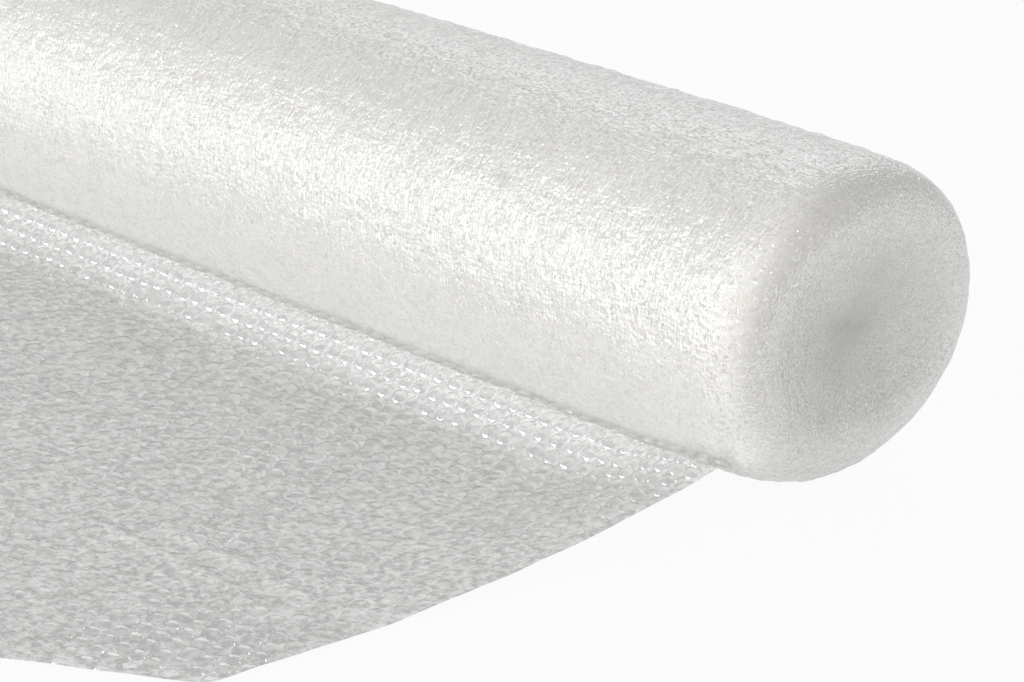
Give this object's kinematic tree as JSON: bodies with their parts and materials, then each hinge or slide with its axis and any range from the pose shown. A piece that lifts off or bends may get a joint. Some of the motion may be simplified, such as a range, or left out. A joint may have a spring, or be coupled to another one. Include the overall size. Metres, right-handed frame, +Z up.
{
  "type": "bubble film roll",
  "caption": "Coreless roll of small-bubble cushioning film lying on its side, backing film outwards, with the tail of the web laid out in front.",
  "frame": {"origin": "on the floor under the roll's axis, halfway along the roll, in the middle of the small flat spot that the roll rests on", "axes": "+X along the roll towards the end that the picture shows, -Y towards the free end of the laid-out tail, +Z up"},
  "size_m": [0.8, 0.532, 0.1688],
  "materials": {
    "clear_film": "glossy, see-through, pale grey where it is many layers deep"
  },
  "bodies": {
    "root": {"bubble_film": "clear_film"}
  },
  "joints": []
}
